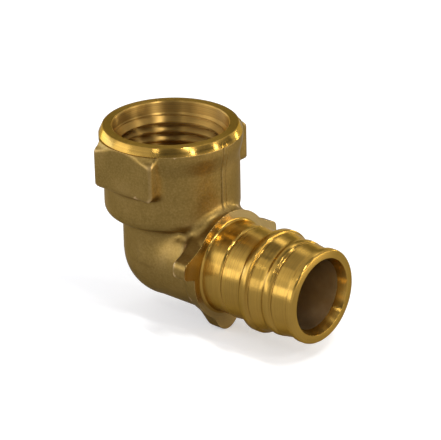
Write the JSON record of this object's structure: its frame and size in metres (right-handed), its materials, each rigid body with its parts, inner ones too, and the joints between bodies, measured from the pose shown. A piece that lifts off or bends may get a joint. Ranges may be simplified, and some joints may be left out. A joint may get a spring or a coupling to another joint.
{
  "type": "pex elbow",
  "caption": "Brass right-angle pipe fitting with a female threaded socket, wrench flats, a stop flange and a ribbed spigot for expanded plastic pipe.",
  "frame": {"origin": "centre of the socket's mouth, on its flat top face", "axes": "+Z out of the socket along its axis, +X out of the ribbed spigot along its axis, +Y across the two wrench flats"},
  "size_m": [0.0485, 0.027, 0.037],
  "materials": {
    "brass": "shot-blasted forged skin, with turned faces at the socket, the flange and the spigot"
  },
  "bodies": {
    "root": {"elbow_body": "brass"}
  },
  "joints": []
}
